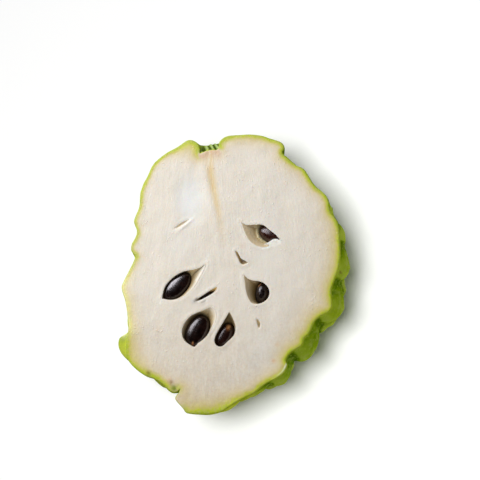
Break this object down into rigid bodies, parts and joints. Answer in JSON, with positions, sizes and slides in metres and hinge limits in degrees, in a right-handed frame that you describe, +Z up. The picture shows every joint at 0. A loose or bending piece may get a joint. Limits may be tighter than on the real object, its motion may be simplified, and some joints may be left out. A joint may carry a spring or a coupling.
{
  "type": "custard apple half",
  "caption": "Custard apple cut in half from stem to tip, lying on its rounded warty back with the creamy cut face and black seeds showing.",
  "frame": {"origin": "middle of the small flat spot on the rounded back, on the surface that the half lies on", "axes": "+Z up, square to the level cut face; +Y towards the stem end of the fruit; +X to the right of the cut face seen from above with the stem end at the top"},
  "size_m": [0.1057, 0.1273, 0.0555],
  "materials": {
    "flesh_and_rind": "satin",
    "seed_coat": "gloss"
  },
  "bodies": {
    "root": {"fruit_half": "flesh_and_rind", "seed_upper_right": "seed_coat", "seed_left": "seed_coat", "seed_centre": "seed_coat", "seed_lower_left": "seed_coat", "seed_lower_middle": "seed_coat", "seed_right": "seed_coat"}
  },
  "joints": []
}
